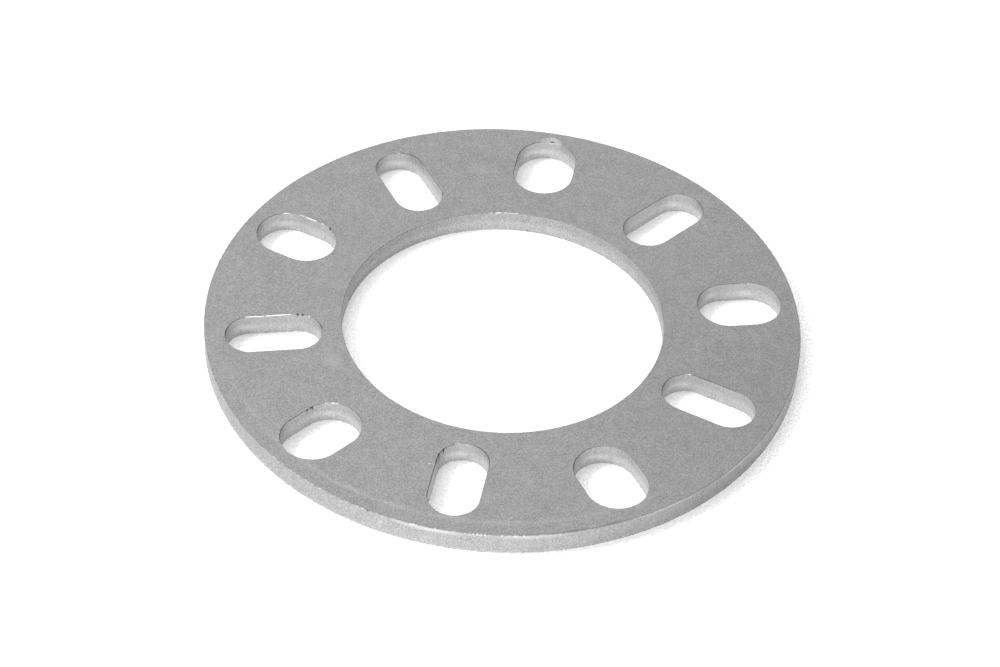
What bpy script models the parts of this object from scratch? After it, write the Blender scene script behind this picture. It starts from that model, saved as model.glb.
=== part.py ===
"""Wheel spacer: a flat aluminium disc that sits between a car's hub and its wheel.

It is one piece, cut from plate. The large bore clears the hub's nose. Around it, radial slots let
five wheel studs through on any of several bolt circles: narrow slots for ordinary studs, and
wide ones between them for thicker studs. Its faces are flat, its walls square, and every edge
is lightly broken.

Metres, +Z up. The origin is the centre of the face that lies against the hub, and the wheel
seats on the face at z = THICKNESS. A wide slot is centred on +Y and a narrow one on -Y.
"""

import math

import bmesh
import bpy
from mathutils import Matrix

# The plate's thickness, which is what the spacer moves the wheel out by.
THICKNESS = 0.00635

# The break on every edge, measured along the face and down the wall.
EDGE_BREAK = 0.0003

# Each family of slots holds one slot per stud, and the two families take turns round the disc.
STUD_COUNT = 5

# Narrow slots clear an ordinary stud on every bolt circle that the spacer fits: from the
# smallest circle out to one that is larger by this much.
NARROW_WIDTH = 0.0139
SMALLEST_CIRCLE = 0.1143
NARROW_TRAVEL = 0.0254

# Wide slots clear a thicker stud. They end on the same largest circle but reach in less far.
WIDE_WIDTH = 0.0170
WIDE_TRAVEL = 0.0127

# The metal left between the bore and the nearest slots, and between the rim and the nearest
# slots. The bore is as large as the slots allow, so that it clears many hubs.
BORE_WALL = 0.00555
RIM_WALL = 0.00415

# How far a flat facet may lie inside the true arc.
CHORD_ERROR = 0.00002

# How far each cutter runs past both faces.
CUTTER_OVERRUN = 0.002

# Walls meet faces at a right angle, and neighbouring facets of an arc at a few degrees, so
# anything turned by more than this is an edge to break.
SHARP_ANGLE = math.radians(40)

# Two hull triangles that meet at less than this lie in one flat.
FLAT_ANGLE = math.radians(1)

ALUMINIUM_GREY = (0.55, 0.55, 0.55, 1.0)
ALUMINIUM_ROUGHNESS = 0.5

LARGEST_CIRCLE = SMALLEST_CIRCLE + NARROW_TRAVEL
WIDE_SMALLEST_CIRCLE = LARGEST_CIRCLE - WIDE_TRAVEL
SLOTS_REACH_IN = min(SMALLEST_CIRCLE - NARROW_WIDTH, WIDE_SMALLEST_CIRCLE - WIDE_WIDTH)
SLOTS_REACH_OUT = LARGEST_CIRCLE + max(NARROW_WIDTH, WIDE_WIDTH)
BORE_DIAMETER = SLOTS_REACH_IN - 2 * BORE_WALL
OUTER_DIAMETER = SLOTS_REACH_OUT + 2 * RIM_WALL

SLOT_PITCH = 2 * math.pi / STUD_COUNT
FIRST_WIDE_ANGLE = math.radians(90)
FIRST_NARROW_ANGLE = FIRST_WIDE_ANGLE + SLOT_PITCH / 2


def clear_scene():
    for obj in list(bpy.data.objects):
        bpy.data.objects.remove(obj, do_unlink=True)


def new_collection(name):
    collection = bpy.data.collections.new(name)
    bpy.context.scene.collection.children.link(collection)
    return collection


def sides_for(radius):
    """Sides of a circle whose flats keep to CHORD_ERROR, a multiple of four so that it has
    a corner on each axis and measures its full diameter there."""
    half_step = math.acos(1 - CHORD_ERROR / radius)
    return 4 * math.ceil(math.pi / (4 * half_step))


def object_from(bm, name, collection):
    """Turns a bmesh into an object, shaded smooth apart from its sharp edges."""
    mesh = bpy.data.meshes.new(name)
    bm.to_mesh(mesh)
    bm.free()
    mesh.shade_smooth()
    mesh.set_sharp_from_angle(angle=SHARP_ANGLE)
    obj = bpy.data.objects.new(name, mesh)
    collection.objects.link(obj)
    return obj


def disc(name, diameter, bottom, top, collection):
    """A cylinder on the disc's axis, from z = bottom to z = top."""
    bm = bmesh.new()
    bmesh.ops.create_cone(
        bm,
        cap_ends=True,
        segments=sides_for(diameter / 2),
        radius1=diameter / 2,
        radius2=diameter / 2,
        depth=top - bottom,
        matrix=Matrix.Translation((0, 0, (bottom + top) / 2)),
    )
    return object_from(bm, name, collection)


def slot_cutter(name, width, smallest_circle, collection):
    """The room that a stud's hole sweeps as it moves from the family's smallest bolt circle to
    the largest: the hull of the hole's outline at both, above and below the plate. It lies
    along +X, and the object's rotation turns it to its place."""
    bm = bmesh.new()
    for circle in (smallest_circle, LARGEST_CIRCLE):
        for z in (-CUTTER_OVERRUN, THICKNESS + CUTTER_OVERRUN):
            bmesh.ops.create_circle(
                bm,
                segments=sides_for(width / 2),
                radius=width / 2,
                matrix=Matrix.Translation((circle / 2, 0, z)),
            )
    bmesh.ops.convex_hull(bm, input=bm.verts)
    inside = [vert for vert in bm.verts if not vert.link_faces]
    bmesh.ops.delete(bm, geom=inside, context="VERTS")
    bmesh.ops.dissolve_limit(bm, angle_limit=FLAT_ANGLE, verts=bm.verts, edges=bm.edges)
    return object_from(bm, name, collection)


def slot_ring(family, width, smallest_circle, first_angle, collection):
    """One slot cutter for each stud, evenly spaced round the disc."""
    for index in range(STUD_COUNT):
        cutter = slot_cutter(f"{family}_slot_{index + 1}", width, smallest_circle, collection)
        cutter.rotation_euler.z = first_angle + index * SLOT_PITCH


def aluminium():
    material = bpy.data.materials.new("tumbled_aluminium")
    material.use_nodes = True
    shader = material.node_tree.nodes["Principled BSDF"]
    shader.inputs["Base Color"].default_value = ALUMINIUM_GREY
    shader.inputs["Metallic"].default_value = 1.0
    shader.inputs["Roughness"].default_value = ALUMINIUM_ROUGHNESS
    return material


def cut(plate, cutters):
    """Takes the bore and the slots out of the plate in one Boolean."""
    for cutter in cutters.objects:
        cutter.hide_render = True
        cutter.display_type = "WIRE"
    holes = plate.modifiers.new("Bore and slots", "BOOLEAN")
    holes.operation = "DIFFERENCE"
    holes.operand_type = "COLLECTION"
    holes.collection = cutters
    holes.solver = "EXACT"


def break_edges(plate):
    """Bevels every edge between a wall and a face by the same width."""
    bevel = plate.modifiers.new("Edge break", "BEVEL")
    bevel.width = EDGE_BREAK
    bevel.segments = 1
    bevel.limit_method = "ANGLE"
    bevel.angle_limit = SHARP_ANGLE
    bevel.loop_slide = False
    bevel.use_clamp_overlap = False
    bevel.harden_normals = True


clear_scene()
parts = new_collection("wheel_spacer")
cutters = new_collection("cutters")

plate = disc("spacer_plate", OUTER_DIAMETER, 0, THICKNESS, parts)
plate.data.materials.append(aluminium())

disc("bore", BORE_DIAMETER, -CUTTER_OVERRUN, THICKNESS + CUTTER_OVERRUN, cutters)
slot_ring("narrow", NARROW_WIDTH, SMALLEST_CIRCLE, FIRST_NARROW_ANGLE, cutters)
slot_ring("wide", WIDE_WIDTH, WIDE_SMALLEST_CIRCLE, FIRST_WIDE_ANGLE, cutters)
cut(plate, cutters)
break_edges(plate)
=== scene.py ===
import math

import bmesh
import bpy
from mathutils import Matrix, Vector, noise


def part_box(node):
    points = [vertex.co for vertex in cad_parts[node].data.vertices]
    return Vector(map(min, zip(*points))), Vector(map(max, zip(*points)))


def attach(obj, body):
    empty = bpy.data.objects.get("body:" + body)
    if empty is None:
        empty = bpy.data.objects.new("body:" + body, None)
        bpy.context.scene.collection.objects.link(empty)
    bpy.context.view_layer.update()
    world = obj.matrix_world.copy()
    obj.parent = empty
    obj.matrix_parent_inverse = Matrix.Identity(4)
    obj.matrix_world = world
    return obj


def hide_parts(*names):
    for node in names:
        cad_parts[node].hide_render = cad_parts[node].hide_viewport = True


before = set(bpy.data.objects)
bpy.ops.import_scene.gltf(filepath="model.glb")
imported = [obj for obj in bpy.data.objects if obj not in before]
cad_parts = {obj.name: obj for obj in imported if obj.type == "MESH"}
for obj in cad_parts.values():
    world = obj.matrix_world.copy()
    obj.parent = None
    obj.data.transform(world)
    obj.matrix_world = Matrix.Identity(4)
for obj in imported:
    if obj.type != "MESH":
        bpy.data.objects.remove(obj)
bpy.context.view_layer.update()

# The camera. It stands in front of the plate and to the right, looks down on it through a long
# lens, and leans a little to one side. The distance is measured from the middle of the face.
MM = 0.001
plate_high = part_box("spacer_plate")[1]
TOP = plate_high.z
CAMERA_DISTANCE = 0.8917
CAMERA_AZIMUTH = math.radians(8.70)
CAMERA_ELEVATION = math.radians(42.81)
CAMERA_ROLL = math.radians(2.79)
CAMERA_LENS = 115.9
NEAREST_SEEN = 0.05
CAMERA_AIM = Vector((0.32 * MM, -6.06 * MM, TOP))


def direction(azimuth, elevation):
    """The way to something round the plate: azimuth 0 is in front, at -Y, and 90 degrees is at +X."""
    flat = math.cos(elevation)
    return Vector((math.sin(azimuth) * flat, -math.cos(azimuth) * flat, math.sin(elevation)))


camera_data = bpy.data.cameras.new("camera")
camera_data.lens = CAMERA_LENS
camera_data.clip_start = NEAREST_SEEN
camera = bpy.data.objects.new("camera", camera_data)
bpy.context.collection.objects.link(camera)
camera_way = direction(CAMERA_AZIMUTH, CAMERA_ELEVATION)
camera.location = Vector((0, 0, TOP)) + camera_way * CAMERA_DISTANCE
looking = (CAMERA_AIM - camera.location).to_track_quat("-Z", "Y").to_matrix()
camera.rotation_euler = (looking @ Matrix.Rotation(CAMERA_ROLL, 3, "Z")).to_euler()
bpy.context.scene.camera = camera
bpy.context.scene.view_settings.view_transform = "Standard"

# The floor: a sheet of matt white paper, wide enough to run past every view. It takes the plate's
# shadow, and shows as clean white to the camera and in the metal.
FLOOR_RADIUS = 4.0
FLOOR_SIDES = 96
FLOOR_COLOUR = "#F2F2F2"
FLOOR_SHOWS_WHITE = 0.40
# The fibres' size, the part of their noise that is stretched, and the tones that it becomes.
PAPER_GRAIN = 0.6 * MM
FIBRE_RANGE = (0.45, 0.55)
FIBRE_TONES = (0.89, 1.11)


def linear(hex_colour):
    """An sRGB hex colour as the linear RGBA that the shaders take."""
    channels = [int(hex_colour[i : i + 2], 16) / 255 for i in (1, 3, 5)]
    return [
        level / 12.92 if level <= 0.04045 else ((level + 0.055) / 1.055) ** 2.4
        for level in channels
    ] + [1.0]


def add_node(tree, kind, settings, inputs):
    """A shader node with its settings. Each input takes a value or another node's output."""
    node = tree.nodes.new(kind)
    for name, value in settings.items():
        setattr(node, name, value)
    for name, value in inputs.items():
        if isinstance(value, bpy.types.NodeSocket):
            tree.links.new(value, node.inputs[name])
        else:
            node.inputs[name].default_value = value
    return node


def empty_material(name):
    """A new material with nothing in its node tree yet."""
    material = bpy.data.materials.new(name)
    material.use_nodes = True
    material.node_tree.nodes.clear()
    return material


def matt_white_paper():
    """Matt paper: an even, dull white that shows its fibres only in shade. What the camera and the
    metal see is lifted to full white, and the light on it still falls away where the plate shades it.
    The fibres are drawn coarser than real ones, which would be too fine to show."""
    material = empty_material("matt_white_paper")
    tree = material.node_tree
    rays = add_node(tree, "ShaderNodeLightPath", {}, {})
    camera_or_metal = add_node(
        tree,
        "ShaderNodeMath",
        {"operation": "MAXIMUM"},
        {0: rays.outputs["Is Camera Ray"], 1: rays.outputs["Is Glossy Ray"]},
    )
    seen = add_node(
        tree,
        "ShaderNodeMath",
        {"operation": "MAXIMUM"},
        {0: camera_or_metal.outputs[0], 1: rays.outputs["Is Transmission Ray"]},
    )
    lift = add_node(
        tree,
        "ShaderNodeMath",
        {"operation": "MULTIPLY"},
        {0: seen.outputs[0], 1: FLOOR_SHOWS_WHITE},
    )
    place = add_node(tree, "ShaderNodeTexCoord", {}, {}).outputs["Object"]
    fibre = add_node(
        tree,
        "ShaderNodeTexNoise",
        {},
        {"Vector": place, "Scale": 1 / PAPER_GRAIN, "Detail": 1.0},
    )
    tone = add_node(
        tree,
        "ShaderNodeMapRange",
        {},
        {
            "Value": fibre.outputs["Fac"],
            "From Min": FIBRE_RANGE[0],
            "From Max": FIBRE_RANGE[1],
            "To Min": FIBRE_TONES[0],
            "To Max": FIBRE_TONES[1],
        },
    )
    colour = add_node(
        tree,
        "ShaderNodeMix",
        {"data_type": "RGBA", "blend_type": "MULTIPLY"},
        {"Factor": 1.0, "A": linear(FLOOR_COLOUR), "B": tone.outputs[0]},
    )
    paper = add_node(tree, "ShaderNodeBsdfDiffuse", {}, {"Color": colour.outputs["Result"]})
    glow = add_node(
        tree, "ShaderNodeEmission", {}, {"Color": tone.outputs[0], "Strength": lift.outputs[0]}
    )
    both = add_node(tree, "ShaderNodeAddShader", {}, {0: paper.outputs[0], 1: glow.outputs[0]})
    add_node(tree, "ShaderNodeOutputMaterial", {}, {"Surface": both.outputs[0]})
    return material


bm = bmesh.new()
bmesh.ops.create_circle(bm, cap_ends=True, segments=FLOOR_SIDES, radius=FLOOR_RADIUS)
floor_mesh = bpy.data.meshes.new("floor")
bm.to_mesh(floor_mesh)
bm.free()
floor = bpy.data.objects.new("floor", floor_mesh)
bpy.context.collection.objects.link(floor)
floor_mesh.materials.append(matt_white_paper())

# The light: soft boxes in a dark room. The key hangs high on the left, so the plate's shadow falls
# to the right, and the others are large and weak. Four stand low and light the walls.
ROOM_BRIGHTNESS = 0.0
SOFT_BOXES = [
    # name, azimuth and elevation in degrees, distance and side in metres, brightness, where 1 is white
    ("key", -78, 54.5, 2.0, 0.3, 43.0),
    ("overhead", 0, 90, 2.0, 1.2, 2.2),
    ("high_left_back", -120, 65, 2.0, 1.2, 3.4),
    ("low_back", 180, 15, 2.0, 1.2, 2.5),
    ("low_left_front", -45, 15, 2.0, 1.2, 2.2),
    ("low_front", 0, 15, 2.0, 1.2, 1.1),
    ("floor_level_front", 0, 5, 1.2, 0.45, 18.0),
]


def soft_box(name, azimuth, elevation, distance, side, brightness):
    """A square soft box that faces the plate."""
    data = bpy.data.lights.new(name, "AREA")
    data.shape = "SQUARE"
    data.size = side
    data.energy = brightness * side * side * math.pi
    lamp = bpy.data.objects.new(name, data)
    bpy.context.collection.objects.link(lamp)
    way = direction(math.radians(azimuth), math.radians(elevation))
    lamp.location = Vector((0, 0, TOP)) + way * distance
    lamp.rotation_euler = (-way).to_track_quat("-Z", "Y").to_euler()
    lamp.visible_camera = False


for box in SOFT_BOXES:
    soft_box(*box)
world = bpy.data.worlds.new("dark_room")
world.use_nodes = True
world.node_tree.nodes["Background"].inputs["Color"].default_value = linear("#FFFFFF")
world.node_tree.nodes["Background"].inputs["Strength"].default_value = ROOM_BRIGHTNESS
bpy.context.scene.world = world

# The spacer plate: one disc cut from aluminium plate, with its bore and rim turned and its slots
# milled. It was then tumbled with loose stones, which dulled the faces, broke every edge a little,
# and left nicks, bright rubs and one shallow scoop where they struck harder.
STUD_COUNT = 5
FIRST_WIDE_ANGLE = 90
NARROW_WIDTH = 13.9 * MM
NARROW_CIRCLES = (114.3 * MM, 139.7 * MM)
WIDE_WIDTH = 17.0 * MM
WIDE_CIRCLES = (127.0 * MM, 139.7 * MM)
BORE_RADIUS = 89.3 * MM / 2
RIM_RADIUS = plate_high.x
# Stretches of an outline: from and to, in degrees, and the step between points.
RIM_STRETCHES = [(-130, -60, 0.22 * MM), (-60, 230, 0.6 * MM)]
BORE_STRETCHES = [(0, 360, 0.4 * MM)]
SLOT_STEP = 0.27 * MM
EDGE_RADIUS = 0.11 * MM
EDGE_SIDES = 4
UNDER_SIDES = 2
# The radius rises and falls along the edge, in waves of this size, by this share.
EDGE_WAVE = 4 * MM
EDGE_UNEVENNESS = 0.3
# The slots' upper edges are broken most, and take the most painted shade, where the wall faces one way,
# which the focus below narrows, and round these spots: x, y and reach in mm, and how much.
WEAR_AND_SHADE_WAY = math.radians(4)
WEAR_AND_SHADE_FOCUS = 6
WORN_EXTRA = 0.08 * MM
WEAR_AND_SHADE_SPOTS = [
    (5.0, -52.4, 6.0, 1.0),
    (-31.0, -45.2, 7.0, 0.4),
    (57.8, -11.6, 6.0, 0.9),
    (63.5, -13.4, 6.0, 0.9),
    (-48.6, -13.8, 2.5, 1.0),
    (-39.8, 63.3, 4.5, 1.0),
    (-48.0, 55.8, 4.0, 1.0),
    (47.4, 59.2, 5.0, 0.9),
]
# How dark the painted shade along an upper edge is, from 0 to 1: a slot's unworn edge and what its
# worn places add, the bore's edge and the rim's.
SLOT_EDGE_PAINTED_SHADE = 0.55
WORN_EDGE_PAINTED_SHADE = 0.45
BORE_EDGE_PAINTED_SHADE = 0.35
RIM_EDGE_PAINTED_SHADE = 0.10
# The rim's upper edge is chipped in front, where the cutter chattered: from and to, in degrees, and
# the share of the depth. The chips come from one layer of a noise, and where it is under FRAY_LEAST
# the edge is whole. A chip shows bright metal, up to CHIP_SHINE of it where it is deep.
FRAY_DEPTH = 2.0 * MM
FRAY_STRETCHES = [(-96, -72, 0.8), (-128, -62, 0.3)]
FRAY_ELSEWHERE = 0.06
FRAY_LEAST = 0.05
FRAY_LAYER = 7 * MM
CHIP_SIZE = 0.6 * MM
CHIP_SHINE = 0.35
DEEP_CHIP = 0.8 * MM
# Bands beside the edges, on the face and down the wall, keep the shading of the flats true. One ring
# further down the wall is where the scoop's slope ends.
FACE_BANDS = (0.08 * MM, 0.4 * MM, 1.0 * MM)
SCOOPED_FACE_BANDS = (0.08 * MM,) + tuple(0.25 * MM * i for i in range(1, 10))
WALL_BAND = 0.08 * MM
WALL_RING = 1.0 * MM

# The scoop, in the outer end of one wide slot: the middle and radius of its outer arc, where it ends
# on the slot's side of the middle, its fall, and how soon its fresh metal shows.
SCOOP_MIDDLE = Vector((-0.35 * MM, 77.4 * MM))
SCOOP_RADIUS = 3.3 * MM
SCOOP_END = -1.5 * MM
SCOOP_FALL = 0.15
SCOOP_FADE = 0.3 * MM

# Bright rubs on upper edges: from x, y to x, y in mm, and how bright. A rub is a flat that leans
# at RUB_LEAN, RUB_WIDTH wide, on the edge within RUB_REACH of its line. It fades over RUB_FADE past
# its ends, and a faint rub is less flat. Its white is partly bared metal and partly a painted glint.
RUB_WIDTH = 0.20 * MM
RUB_LEAN = math.radians(23)
RUB_FADE = 0.25 * MM
RUB_REACH = 0.8 * MM
RUB_FLATNESS = 1.5
EDGE_RUBS = [
    (-69.4, -15.1, -64.8, -13.5, 1.0),
    (-64.1, -13.3, -57.7, -11.1, 1.0),
    (-52.5, -10.8, -52.4, -10.8, 0.8),
    (-69.6, 29.9, -69.2, 30.0, 1.0),
    (-68.8, 30.1, -67.9, 30.2, 0.8),
    (-64.8, 30.1, -62.7, 29.4, 0.35),
    (-62.5, 29.3, -59.6, 28.3, 0.6),
    (-57.6, 27.8, -57.3, 27.7, 0.6),
    (-40.5, -43.1, -40.2, -43.1, 1.0),
    (-38.7, -42.8, -38.2, -42.8, 1.0),
    (-37.5, -42.9, -37.2, -42.9, 0.8),
    (-3.3, -50.6, -3.0, -50.6, 0.8),
    (-2.5, -50.5, -2.2, -50.5, 0.8),
    (52.9, -10.5, 53.1, -10.5, 1.0),
    (53.6, -10.5, 54.0, -10.5, 1.0),
    (64.5, 30.2, 64.8, 30.2, 0.6),
    (-43.3, 63.4, -42.9, 63.4, 0.6),
    (-11.9, 43.0, -11.2, 43.2, 0.7),
    (-10.2, 43.5, -8.8, 43.8, 0.9),
    (-7.9, 44.0, -6.9, 44.1, 0.8),
    (-6.3, 44.2, -5.5, 44.3, 0.7),
    (-4.9, 44.4, -4.1, 44.4, 0.8),
]

# Nicks in upper edges: x, y and size in mm, and how far down the wall the dark mark runs, if any. The
# dark mark is partly residue and partly painted shade in the nick. The cut's depth and its reach along
# the edge are shares of the size.
NICK_DEPTH = 1.1
NICK_REACH = 1.4
EDGE_NICKS = [
    (-55.8, -11.1, 0.40, 0.6),
    (-54.5, -10.8, 0.40, 0.5),
    (-48.7, -13.9, 0.25, 0.3),
    (-44.3, -47.2, 0.28, 1.0),
    (-43.9, -45.9, 0.28, 0.8),
    (-43.4, -45.4, 0.25, 1.2),
    (-6.1, -53.6, 0.35, 1.4),
    (-6.7, -55.5, 0.35, 2.2),
    (-7.0, -57.9, 0.30, 2.0),
    (-55.3, 26.1, 0.45, 0.9),
    (-27.2, 48.1, 0.35, 0.4),
    (52.6, -24.3, 0.30, 0.4),
    (-25.2, -36.9, 0.30, 0.4),
    (-20.9, -79.8, 0.25, 0.3),
    (59.8, 11.0, 0.35, 0.0),
    (62.0, 11.5, 0.30, 0.0),
    (66.6, 12.6, 0.35, 0.0),
    (69.3, 13.6, 0.35, 0.0),
    (37.6, 41.1, 0.25, 0.3),
    (39.2, 41.5, 0.25, 0.0),
]

# Marks on the upper face: middle x, y, half length and half width in mm, turn in degrees, and tone,
# where 1 is white metal and -1 is black.
FACE_MARKS = [
    (-8.6, -59.6, 0.35, 0.30, 0, 1.2),
    (-10.9, -59.3, 0.50, 0.30, 0, 0.25),
    (57.6, -49.0, 0.25, 0.25, 0, 0.8),
    (60.0, -49.1, 0.25, 0.25, 0, 0.8),
    (-16.8, -76.0, 0.40, 0.25, 0, 0.3),
    (-15.2, -75.6, 0.40, 0.25, 0, 0.3),
    (30.2, -73.6, 1.60, 0.25, 20, 0.25),
    (54.9, -2.0, 8.00, 1.60, 99, 0.09),
    (57.5, 8.0, 5.00, 1.20, 98, 0.05),
    (62.6, 6.8, 5.50, 2.40, 98, 0.10),
    (64.0, 3.0, 8.00, 1.80, 98, 0.04),
    (69.6, 8.5, 3.00, 1.30, 97, 0.05),
    (70.8, 1.0, 11.00, 1.60, 98, 0.07),
    (71.6, -5.0, 6.00, 1.60, 98, 0.04),
    (60.0, 1.0, 7.00, 1.50, 98, -0.04),
    (66.3, 3.0, 5.00, 1.30, 98, -0.05),
    (75.4, -17.0, 3.50, 2.50, 60, -0.08),
    # A wide, faint darkening over the right of the face is painted shade.
    (72.0, -8.0, 50.00, 80.00, 0, -0.09),
    (0.05, 78.70, 1.00, 0.40, -8, -2.40),
    (-48.8, -14.0, 1.30, 0.28, -56, -1.20),
    (24.0, -78.5, 7.00, 0.50, 17, -0.20),
    (33.4, -75.0, 7.00, 0.50, 24, -0.40),
    (42.3, -70.4, 7.00, 0.50, 31, -0.30),
    (-18.3, 61.1, 4.50, 3.50, 0, 0.10),
    (-42.0, -27.0, 5.50, 3.00, 130, 0.12),
    (-62.5, -20.0, 6.00, 3.00, 15, 0.10),
    (49.8, 50.8, 5.50, 0.35, 116, 0.16),
    (-24.9, 76.0, 3.20, 0.30, 145, 0.16),
    (-9.7, -61.3, 1.60, 0.60, 150, 0.18),
    (58.8, -48.7, 1.60, 0.30, 10, 0.25),
]

# A paler arc inside the rim's front: its radius, the half sizes of the marks that make it up, and the
# tone of each by its azimuth in degrees.
ARC_RADIUS = 77.7
ARC_HALF_SIZES = (9.0, 1.3)
ARC_TONES = {
    -150: 0.08,
    -140: 0.08,
    -130: 0.12,
    -120: 0.12,
    -110: 0.16,
    -100: 0.16,
    -90: 0.16,
    -80: 0.16,
    -70: 0.14,
    -60: 0.08,
    -50: 0.06,
}

# Marks on walls: middle x, y and height, half length, half thickness and half height in mm, turn in
# degrees, and tone.
WALL_MARKS = [
    (-1.1, 44.65, 0.4, 0.35, 0.3, 0.45, 0, -0.9),
    (-41.6, -71.3, 0.3, 0.30, 0.3, 0.40, 0, -0.8),
    (-1.0, 78.3, 0.3, 0.60, 0.4, 0.30, 0, -0.5),
    (65.2, 28.4, 3.8, 0.30, 0.5, 0.35, 0, -0.5),
    (10.0, -81.9, 0.6, 0.25, 0.4, 0.30, 0, -0.6),
    (29.3, -77.1, 1.2, 0.30, 0.4, 0.30, 0, -0.4),
    (-17.5, -80.6, 3.2, 1.20, 1.0, 1.60, 12, 0.14),
    (-26.7, -78.1, 4.5, 0.25, 0.5, 1.60, 0, 0.25),
    (-25.5, -78.5, 4.5, 0.25, 0.5, 1.60, 0, 0.25),
    (-24.4, -78.8, 4.3, 0.25, 0.5, 1.60, 0, 0.25),
    (-33.0, -75.6, 3.6, 0.80, 0.8, 2.40, 24, 0.12),
    (-5.0, -82.3, 2.6, 3.00, 1.0, 1.80, 4, 0.10),
    (-4.0, -82.4, 5.8, 14.0, 3.0, 1.00, -3, 0.40),
    (22.0, -79.5, 5.8, 13.0, 3.0, 0.90, 15, 0.30),
    (56.0, -60.6, 6.0, 14.0, 3.0, 0.60, 43, 0.30),
    (71.4, -41.2, 5.8, 14.0, 3.0, 0.80, 60, 0.30),
    # The last four run the wall's whole height: painted light and shade, paler on the rim's front and
    # the bore's far side, darker on the rim's right front and the bore's right side.
    (28.0, -77.5, 3.0, 22.0, 8.0, 9.00, 20, 0.05),
    (67.5, -47.3, 3.0, 32.0, 8.0, 9.00, 55, -0.14),
    (-15.3, 42.0, 3.0, 16.0, 4.0, 9.00, 20, 0.08),
    (41.4, 16.7, 3.0, 14.0, 4.0, 9.00, 112, -0.08),
]

# Painted reflection and shade on every slot's wall, placed by the way that the wall faces: pale patches
# for the lit floor it reflects, a dark one for shade. Each is the way in degrees, the height and half
# sizes in mm, and the tone.
PAINTED_WALL_REFLECTION_AND_SHADE = [
    (-72, 2.4, 3.0, 1.2, 1.5, 0.30),
    (-50, 3.1, 2.6, 1.2, 1.3, 0.20),
    (-28, 4.3, 2.6, 1.2, 1.5, 0.06),
    (-3, 3.2, 6.0, 2.5, 6.0, -0.20),
]


def circle_outline(radius, out_of_metal, stretches):
    """Points round a circle, each with the way out of the metal, which is 1 away from the axis or -1
    towards it."""
    points = []
    for start, end, step in stretches:
        count = round(math.radians(end - start) * radius / step)
        for i in range(count):
            angle = math.radians(start + (end - start) * i / count)
            way = Vector((math.cos(angle), math.sin(angle)))
            points.append((way * radius, way * out_of_metal))
    return points


def slot_outline(width, circles, angle, step):
    """Points round a slot that lies along the ray at the angle, each with the way out of the metal."""
    half = width / 2
    near, far = circles[0] / 2, circles[1] / 2
    along = Vector((math.cos(angle), math.sin(angle)))
    across = Vector((-along.y, along.x))
    bend = math.pi * half
    length = 2 * (far - near) + 2 * bend
    count = round(length / step)
    points = []
    for i in range(count):
        gone = length * i / count
        side, gone = (1, gone) if gone < length / 2 else (-1, gone - length / 2)
        if gone < bend:
            turn = gone / half - math.pi / 2
            way = side * (math.cos(turn) * along + math.sin(turn) * across)
            centre = along * (far if side > 0 else near)
        else:
            way = side * across
            run = gone - bend
            centre = along * (far - run if side > 0 else near + run)
        points.append((centre + way * half, -way))
    return points


def fray(spot):
    """How far the edge is chipped back at a spot: the rim is, along its front."""
    angle = math.degrees(math.atan2(spot.y, spot.x))
    much = FRAY_ELSEWHERE
    if spot.length > RIM_RADIUS - MM:
        much = max([much] + [share for start, end, share in FRAY_STRETCHES if start < angle < end])
    chips = noise.noise(Vector((spot.x, spot.y, FRAY_LAYER)) / CHIP_SIZE)
    return FRAY_DEPTH * much * max(0, chips - FRAY_LEAST)


def rubbed(spot):
    """How much of a bright rub the edge has at a spot, from 0 to 1."""
    most = 0
    for x0, y0, x1, y1, bright in EDGE_RUBS:
        start, end = Vector((x0, y0)) * MM, Vector((x1, y1)) * MM
        along = (end - start).normalized()
        run = (spot - start).dot(along)
        aside = abs((spot - start).cross(along))
        past = max(0, -run, run - (end - start).length)
        if aside < RUB_REACH:
            most = max(most, bright * (1 - past / RUB_FADE))
    return most


def wear_and_edge_shade(spot, way):
    """How much a slot's upper edge is broken at a spot, and how much painted shade it takes, from 0 to
    1.
    """
    most = max(0, way.dot(Vector((math.cos(WEAR_AND_SHADE_WAY), math.sin(WEAR_AND_SHADE_WAY))))) ** WEAR_AND_SHADE_FOCUS
    for x, y, reach, much in WEAR_AND_SHADE_SPOTS:
        away = (spot - Vector((x, y)) * MM).length
        most = max(most, much * min(1, 2 - 2 * away / (reach * MM)))
    return most


def edge_radius(spot, way, milled):
    """The edge's radius at a spot: tumbling wears it away more in some places, and nicks cut it back."""
    uneven = EDGE_UNEVENNESS * noise.noise(Vector((spot.x, spot.y, 0)) / EDGE_WAVE)
    radius = EDGE_RADIUS * (1 + uneven) + WORN_EXTRA * wear_and_edge_shade(spot, way) * milled + fray(spot)
    for nick, size, _ in nicks:
        away = (spot - nick).length
        radius = max(radius, NICK_DEPTH * size * (1 - away / (NICK_REACH * size)))
    return radius


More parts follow.
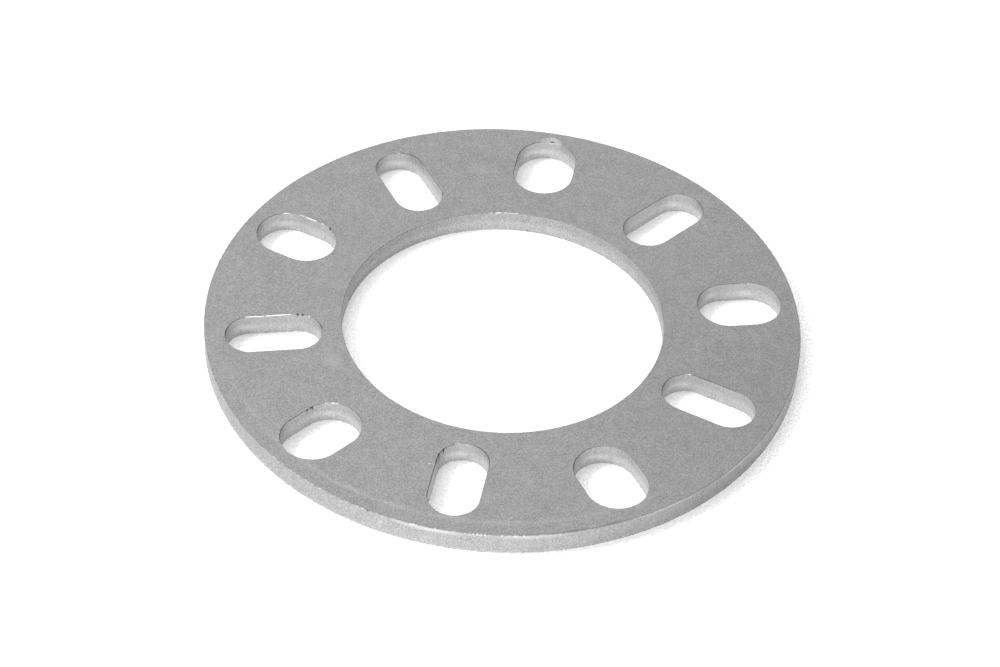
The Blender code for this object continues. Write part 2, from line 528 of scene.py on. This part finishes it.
def section(radius, rub, face_bands):
    """The plate's section at an edge, from the upper face over the edge, down the wall and under. Each
    ring is (distance into the metal, height, how much it is wall, how much it is edge, how much rub)."""
    rings = [(radius + band, TOP, 0, 0, 0) for band in reversed(face_bands)]
    for i in range(EDGE_SIDES + 1):
        turn = math.pi / 2 * i / EDGE_SIDES
        inset = radius * (1 - math.sin(turn))
        drop = radius * (1 - math.cos(turn))
        leaning_inset = RUB_WIDTH * (1 - i / EDGE_SIDES)
        leaning_drop = RUB_WIDTH * math.tan(RUB_LEAN) * i / EDGE_SIDES
        flat = min(1, RUB_FLATNESS * rub)
        inset += (leaning_inset - inset) * flat
        drop += (leaning_drop - drop) * flat
        inside = 0 if i in (0, EDGE_SIDES) else 1
        rings.append((inset, TOP - drop, i / EDGE_SIDES, inside, rub * inside))
    wall_top = rings[-1][1]
    for wall_height in (wall_top - WALL_BAND, TOP - WALL_RING, EDGE_RADIUS + WALL_BAND):
        rings.append((0, wall_height, 1, 0, 0))
    for i in range(UNDER_SIDES + 1):
        turn = math.pi / 2 * i / UNDER_SIDES
        inset = EDGE_RADIUS * (1 - math.cos(turn))
        rings.append((inset, EDGE_RADIUS * (1 - math.sin(turn)), 1 - i / UNDER_SIDES, 0, 0))
    rings.append((EDGE_RADIUS + FACE_BANDS[1], 0, 0, 0, 0))
    return rings


def scoop_reach(spot):
    """How far in from the scoop's outer arc a spot lies, or 0 outside the scoop."""
    off = spot - SCOOP_MIDDLE
    if abs(off.x) > SCOOP_RADIUS or off.y < SCOOP_END:
        return 0
    return max(0, math.sqrt(SCOOP_RADIUS**2 - off.x**2) - off.y)


rim_outline = circle_outline(RIM_RADIUS, 1, RIM_STRETCHES)
bore_outline = circle_outline(BORE_RADIUS, -1, BORE_STRETCHES)
# Points, whether it is a slot, and bands on the face.
outlines = [(rim_outline, 0, FACE_BANDS), (bore_outline, 0, FACE_BANDS)]
painted_wall_light = []
for i in range(STUD_COUNT):
    wide_angle = math.radians(FIRST_WIDE_ANGLE + 360 / STUD_COUNT * i)
    narrow_angle = wide_angle + math.radians(180 / STUD_COUNT)
    bands = SCOOPED_FACE_BANDS if i == 0 else FACE_BANDS
    wide_outline = slot_outline(WIDE_WIDTH, WIDE_CIRCLES, wide_angle, SLOT_STEP)
    narrow_outline = slot_outline(NARROW_WIDTH, NARROW_CIRCLES, narrow_angle, SLOT_STEP)
    outlines += [(wide_outline, 1, bands), (narrow_outline, 1, FACE_BANDS)]
    # Each slot's wall takes the painted reflection and shade where it faces each patch's way.
    for outline in (wide_outline, narrow_outline):
        for way, height, length, depth, rise, tone in PAINTED_WALL_REFLECTION_AND_SHADE:
            turn = math.radians(way)
            facing = Vector((math.cos(turn), math.sin(turn)))
            spot = max(outline, key=lambda point: point[1].dot(facing))[0]
            half_sizes = (length * MM, depth * MM, rise * MM)
            painted_wall_light.append(((*spot, height * MM), half_sizes, turn + math.pi / 2, tone))

# Each nick is moved onto the nearest edge.
edge_spots = [spot for outline, _, _ in outlines for spot, _ in outline]
nicks = []
for x, y, size, reach in EDGE_NICKS:
    place = Vector((x, y)) * MM
    nicks.append((min(edge_spots, key=lambda spot: (spot - place).length), size * MM, reach * MM))

# What each point of the mesh says to the material: whether it is on a wall, how much painted shade
# its upper edge takes, whether it is in a milled slot or on the rim, and how much it is rubbed or fresh.
MESH_FIELDS = ("wall", "edge", "milled", "rim", "rub", "fresh")
bm = bmesh.new()
layers = [bm.verts.layers.float.new(name) for name in MESH_FIELDS]
face_rims, under_rims = [], []
for outline, milled, bands in outlines:
    columns = []
    rim = 1 if outline is rim_outline else 0
    for spot, way in outline:
        column = []
        bright = max(rubbed(spot), rim * min(CHIP_SHINE, fray(spot) / DEEP_CHIP))
        # Upper edges take a painted dark line that stands for shade, heavier where a slot's edge is
        # worn.
        if milled:
            painted_edge_shade = SLOT_EDGE_PAINTED_SHADE + WORN_EDGE_PAINTED_SHADE * wear_and_edge_shade(spot, way)
        else:
            painted_edge_shade = RIM_EDGE_PAINTED_SHADE if rim else BORE_EDGE_PAINTED_SHADE
        for inset, height, wall, edge, rub in section(edge_radius(spot, way, milled), bright, bands):
            place = spot - way * inset
            near_top = max(0, 1 - (TOP - height) / WALL_RING)
            reach = scoop_reach(place) * near_top
            vert = bm.verts.new((*place, height - SCOOP_FALL * reach))
            values = (wall, edge * painted_edge_shade, milled, rim, rub, min(1, reach / SCOOP_FADE))
            for layer, value in zip(layers, values):
                vert[layer] = value
            column.append(vert)
        columns.append(column)
    for column, following in zip(columns, columns[1:] + columns[:1]):
        for i in range(len(column) - 1):
            bm.faces.new((column[i], following[i], following[i + 1], column[i + 1]))
        face_rims.append(bm.edges.get((column[0], following[0])))
        under_rims.append(bm.edges.get((column[-1], following[-1])))
bmesh.ops.triangle_fill(bm, edges=face_rims, use_beauty=True)
bmesh.ops.triangle_fill(bm, edges=under_rims, use_beauty=True)
bmesh.ops.recalc_face_normals(bm, faces=bm.faces)
plate_mesh = bpy.data.meshes.new("tumbled_plate")
bm.to_mesh(plate_mesh)
bm.free()
plate_mesh.shade_smooth()
plate = bpy.data.objects.new("tumbled_plate", plate_mesh)
bpy.context.collection.objects.link(plate)

FACE_GREY = "#B1B1B1"
TURNED_GREY = "#B0B0B0"
MILLED_GREY = "#BFBFBF"
# The dark grey of the upper edges is painted shade.
PAINTED_EDGE_SHADE_GREY = "#6E6E6E"
FRESH_GREY = "#C9C9C9"
# The white of pale marks and rubs, partly bared metal and partly painted glints and reflection.
PALE_MARK_AND_PAINTED_LIGHT_WHITE = "#FAFAFA"
# The black of nicks and dark marks, partly residue and partly painted shade.
DARK_MARK_AND_SHADE_BLACK = "#3A3A3A"
FACE_ROUGHNESS = 0.72
TURNED_ROUGHNESS = 0.64
MILLED_ROUGHNESS = 0.49
RUBBED_ROUGHNESS = 0.32
# The grit's size, how deep its pits are, and how strong the speckle is on each surface.
GRAIN = 0.38 * MM
PIT_DEPTH = 0.02 * MM
FACE_SPECKLE = 0.20
TURNED_SPECKLE = 0.25
MILLED_SPECKLE = 0.19
# Nearly all of a noise lies in this range, which is stretched to the tones.
NOISE_RANGE = (0.3, 0.7)
CLOUD_SIZE = 5 * MM
CLOUD_TONES = (0.96, 1.04)
# Scratches: their way, their size, how strong they are, and one patch that has more.
SCRATCH_TURN = math.radians(70)
SCRATCH_SIZE = (4 * MM, 0.35 * MM, 4 * MM)
SCRATCH_STRENGTH = 0.08
SCRATCHED_PATCH = ((-67 * MM, 3 * MM, TOP), (20 * MM, 20 * MM, 2 * MM), 0, 0.30)
# The cutter's lines down a wall.
CUTTER_LINE_SIZE = (0.8 * MM, 0.8 * MM, 14 * MM)
CUTTER_LINE_TONES = (0.965, 1.035)
# Painted reflection of the lit floor down a wall: how its tone changes between two heights in mm,
# and the tones below and above them.
INNER_WALL_PAINTED_REFLECTION = (2.4, 4.6, 1.08, 0.90)
RIM_WALL_PAINTED_REFLECTION = (0.0, 1.8, 1.15, 1.0)
FACE_MARK_DEPTH = 0.5 * MM
# A nick's dark mark, partly residue and partly painted shade: its half width as a share of the nick,
# its half height as a share of its reach, and its tone.
NICK_MARK_WIDTH = 1.2
NICK_MARK_HEIGHT = 1.5
NICK_TONE = -1.4


def marks_field(tree, place, marks):
    """The sum of soft-edged marks. Each is its middle, its three half sizes, its turn and its tone."""
    total = 0.0
    for middle, half_sizes, turn, tone in marks:
        inside = add_node(
            tree,
            "ShaderNodeMapping",
            {"vector_type": "TEXTURE"},
            {"Vector": place, "Location": middle, "Rotation": (0, 0, turn), "Scale": half_sizes},
        )
        soft = add_node(
            tree,
            "ShaderNodeTexGradient",
            {"gradient_type": "SPHERICAL"},
            {"Vector": inside.outputs[0]},
        )
        total = add_node(
            tree,
            "ShaderNodeMath",
            {"operation": "MULTIPLY_ADD"},
            {0: soft.outputs["Fac"], 1: tone, 2: total},
        ).outputs[0]
    return total


def tumbled_aluminium():
    """Aluminium tumbled in stone media. To the eye it is a dull, even grey with a fine speckle and no
    mirror image, paler on the milled slot walls, and white or black where an edge was struck. Painted
    shade darkens the upper edges and some stretches of face and wall, painted reflection of the floor
    pales the walls low down, and some white marks are painted glints.
    The speckle is drawn coarser than the real pits, which would be too fine to show."""
    material = empty_material("tumbled_aluminium")
    tree = material.node_tree
    place = add_node(tree, "ShaderNodeTexCoord", {}, {}).outputs["Object"]
    height = add_node(tree, "ShaderNodeSeparateXYZ", {}, {"Vector": place}).outputs["Z"]
    wall, edge, milled, rim, rub, fresh = [
        add_node(tree, "ShaderNodeAttribute", {"attribute_name": name}, {}).outputs["Fac"]
        for name in MESH_FIELDS
    ]
    milled_wall = add_node(
        tree, "ShaderNodeMath", {"operation": "MULTIPLY"}, {0: wall, 1: milled}
    ).outputs[0]

    # The speckle of the stones' pits, about the size of their grit. It is strongest on turned walls.
    grit = add_node(
        tree,
        "ShaderNodeTexNoise",
        {},
        {"Vector": place, "Scale": 1 / GRAIN, "Detail": 1.0, "Roughness": 0.6},
    ).outputs["Fac"]
    speckle_share = FACE_SPECKLE
    for part, share in ((wall, TURNED_SPECKLE), (milled_wall, MILLED_SPECKLE)):
        speckle_share = add_node(
            tree, "ShaderNodeMix", {}, {"Factor": part, "A": speckle_share, "B": share}
        ).outputs["Result"]
    pitting = add_node(
        tree,
        "ShaderNodeMapRange",
        {"clamp": False},
        {
            "Value": grit,
            "From Min": NOISE_RANGE[0],
            "From Max": NOISE_RANGE[1],
            "To Min": -1.0,
            "To Max": 1.0,
        },
    ).outputs[0]
    speckle = add_node(
        tree,
        "ShaderNodeMath",
        {"operation": "MULTIPLY_ADD"},
        {0: pitting, 1: speckle_share, 2: 1.0},
    ).outputs[0]

    # Slow changes of tone, a few millimetres across.
    cloud = add_node(
        tree,
        "ShaderNodeTexNoise",
        {},
        {"Vector": place, "Scale": 1 / CLOUD_SIZE, "Detail": 2.0, "Roughness": 0.6},
    ).outputs["Fac"]
    clouds = add_node(
        tree,
        "ShaderNodeMapRange",
        {"clamp": False},
        {
            "Value": cloud,
            "From Min": NOISE_RANGE[0],
            "From Max": NOISE_RANGE[1],
            "To Min": CLOUD_TONES[0],
            "To Max": CLOUD_TONES[1],
        },
    ).outputs[0]

    # Fine scratches that run one way across the face, thickest on the left.
    drawn_out = add_node(
        tree,
        "ShaderNodeMapping",
        {"vector_type": "TEXTURE"},
        {"Vector": place, "Rotation": (0, 0, SCRATCH_TURN), "Scale": SCRATCH_SIZE},
    ).outputs[0]
    scratch = add_node(
        tree, "ShaderNodeTexNoise", {}, {"Vector": drawn_out, "Scale": 1.0, "Detail": 1.0}
    ).outputs["Fac"]
    scratch = add_node(
        tree, "ShaderNodeMath", {"operation": "SUBTRACT"}, {0: scratch, 1: 0.5}
    ).outputs[0]
    scratched = add_node(
        tree,
        "ShaderNodeMath",
        {"operation": "ADD"},
        {0: marks_field(tree, place, [SCRATCHED_PATCH]), 1: SCRATCH_STRENGTH},
    ).outputs[0]
    scratches = add_node(
        tree,
        "ShaderNodeMath",
        {"operation": "MULTIPLY_ADD"},
        {0: scratch, 1: scratched, 2: 1.0},
    ).outputs[0]

    # Down a wall the cutter left faint upright lines. The inner walls are painted paler in their lower
    # half and darker high up, and the rim paler only at its foot: a painted reflection of the lit floor.
    upright = add_node(
        tree,
        "ShaderNodeMapping",
        {"vector_type": "TEXTURE"},
        {"Vector": place, "Scale": CUTTER_LINE_SIZE},
    ).outputs[0]
    line = add_node(
        tree, "ShaderNodeTexNoise", {}, {"Vector": upright, "Scale": 1.0, "Detail": 1.0}
    ).outputs["Fac"]
    lines = add_node(
        tree,
        "ShaderNodeMapRange",
        {"clamp": False},
        {
            "Value": line,
            "From Min": NOISE_RANGE[0],
            "From Max": NOISE_RANGE[1],
            "To Min": CUTTER_LINE_TONES[0],
            "To Max": CUTTER_LINE_TONES[1],
        },
    ).outputs[0]
    inner_reflection, rim_reflection = [
        add_node(
            tree,
            "ShaderNodeMapRange",
            {"interpolation_type": "SMOOTHSTEP"},
            {
                "Value": height,
                "From Min": low * MM,
                "From Max": high * MM,
                "To Min": below,
                "To Max": above,
            },
        ).outputs[0]
        for low, high, below, above in (INNER_WALL_PAINTED_REFLECTION, RIM_WALL_PAINTED_REFLECTION)
    ]
    painted_floor_reflection = add_node(
        tree, "ShaderNodeMix", {}, {"Factor": rim, "A": inner_reflection, "B": rim_reflection}
    ).outputs["Result"]
    wall_tone = add_node(
        tree, "ShaderNodeMath", {"operation": "MULTIPLY"}, {0: painted_floor_reflection, 1: lines}
    ).outputs[0]

    # The greys of the faces, the walls and the edges, and the tones on them. The edges' dark grey is
    # painted shade.
    tone = add_node(
        tree, "ShaderNodeMix", {}, {"Factor": wall, "A": scratches, "B": wall_tone}
    ).outputs["Result"]
    for factor in (speckle, clouds):
        tone = add_node(
            tree, "ShaderNodeMath", {"operation": "MULTIPLY"}, {0: tone, 1: factor}
        ).outputs[0]
    grey = linear(FACE_GREY)
    for part, colour in (
        (wall, TURNED_GREY),
        (milled_wall, MILLED_GREY),
        (edge, PAINTED_EDGE_SHADE_GREY),
        (fresh, FRESH_GREY),
    ):
        grey = add_node(
            tree,
            "ShaderNodeMix",
            {"data_type": "RGBA"},
            {"Factor": part, "A": grey, "B": linear(colour)},
        ).outputs["Result"]
    grey = add_node(
        tree,
        "ShaderNodeMix",
        {"data_type": "RGBA", "blend_type": "MULTIPLY"},
        {"Factor": 1.0, "A": grey, "B": tone},
    ).outputs["Result"]

    # A mark fades out over its half sizes. Marks on the face stop just below it, and a nick's runs
    # down the wall.
    face_marks = [
        (
            (x * MM, y * MM, TOP),
            (length * MM, width * MM, FACE_MARK_DEPTH),
            math.radians(turn),
            mark_tone,
        )
        for x, y, length, width, turn, mark_tone in FACE_MARKS
    ]
    for azimuth, mark_tone in ARC_TONES.items():
        turn = math.radians(azimuth)
        middle = (ARC_RADIUS * math.cos(turn) * MM, ARC_RADIUS * math.sin(turn) * MM, TOP)
        half_sizes = (ARC_HALF_SIZES[0] * MM, ARC_HALF_SIZES[1] * MM, FACE_MARK_DEPTH)
        face_marks.append((middle, half_sizes, turn + math.pi / 2, mark_tone))
    # Each nick that reaches down the wall gets a dark mark, partly residue and partly painted shade.
    for spot, size, reach in nicks:
        if reach:
            width = NICK_MARK_WIDTH * size
            face_marks.append(
                ((*spot, TOP), (width, width, NICK_MARK_HEIGHT * reach), 0, NICK_TONE)
            )
    wall_marks = painted_wall_light + [
        (
            (x * MM, y * MM, z * MM),
            (length * MM, depth * MM, rise * MM),
            math.radians(turn),
            mark_tone,
        )
        for x, y, z, length, depth, rise, turn, mark_tone in WALL_MARKS
    ]
    # All marks add into one tone: nicks, rubs and smudges, with painted shade, reflection and glints
    # among them.
    marks_and_painted_light = add_node(
        tree,
        "ShaderNodeMath",
        {"operation": "MULTIPLY_ADD"},
        {
            0: marks_field(tree, place, wall_marks),
            1: wall,
            2: marks_field(tree, place, face_marks),
        },
    ).outputs[0]
    bright = add_node(tree, "ShaderNodeClamp", {}, {"Value": marks_and_painted_light}).outputs[0]
    negated_marks_and_painted_light = add_node(
        tree, "ShaderNodeMath", {"operation": "MULTIPLY"}, {0: marks_and_painted_light, 1: -1.0}
    ).outputs[0]
    dark = add_node(tree, "ShaderNodeClamp", {}, {"Value": negated_marks_and_painted_light}).outputs[0]
    for part, colour in ((bright, PALE_MARK_AND_PAINTED_LIGHT_WHITE), (rub, PALE_MARK_AND_PAINTED_LIGHT_WHITE), (dark, DARK_MARK_AND_SHADE_BLACK)):
        grey = add_node(
            tree,
            "ShaderNodeMix",
            {"data_type": "RGBA"},
            {"Factor": part, "A": grey, "B": linear(colour)},
        ).outputs["Result"]

    roughness = FACE_ROUGHNESS
    for part, value in (
        (wall, TURNED_ROUGHNESS),
        (milled_wall, MILLED_ROUGHNESS),
        (rub, RUBBED_ROUGHNESS),
    ):
        roughness = add_node(
            tree, "ShaderNodeMix", {}, {"Factor": part, "A": roughness, "B": value}
        ).outputs["Result"]
    pits = add_node(
        tree, "ShaderNodeBump", {}, {"Height": grit, "Strength": 0.5, "Distance": PIT_DEPTH}
    ).outputs["Normal"]
    metal = add_node(
        tree,
        "ShaderNodeBsdfPrincipled",
        {},
        {"Base Color": grey, "Metallic": 1.0, "Roughness": roughness, "Normal": pits},
    )
    add_node(tree, "ShaderNodeOutputMaterial", {}, {"Surface": metal.outputs[0]})
    return material


plate_mesh.materials.append(tumbled_aluminium())
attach(plate, "root")
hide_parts("spacer_plate")
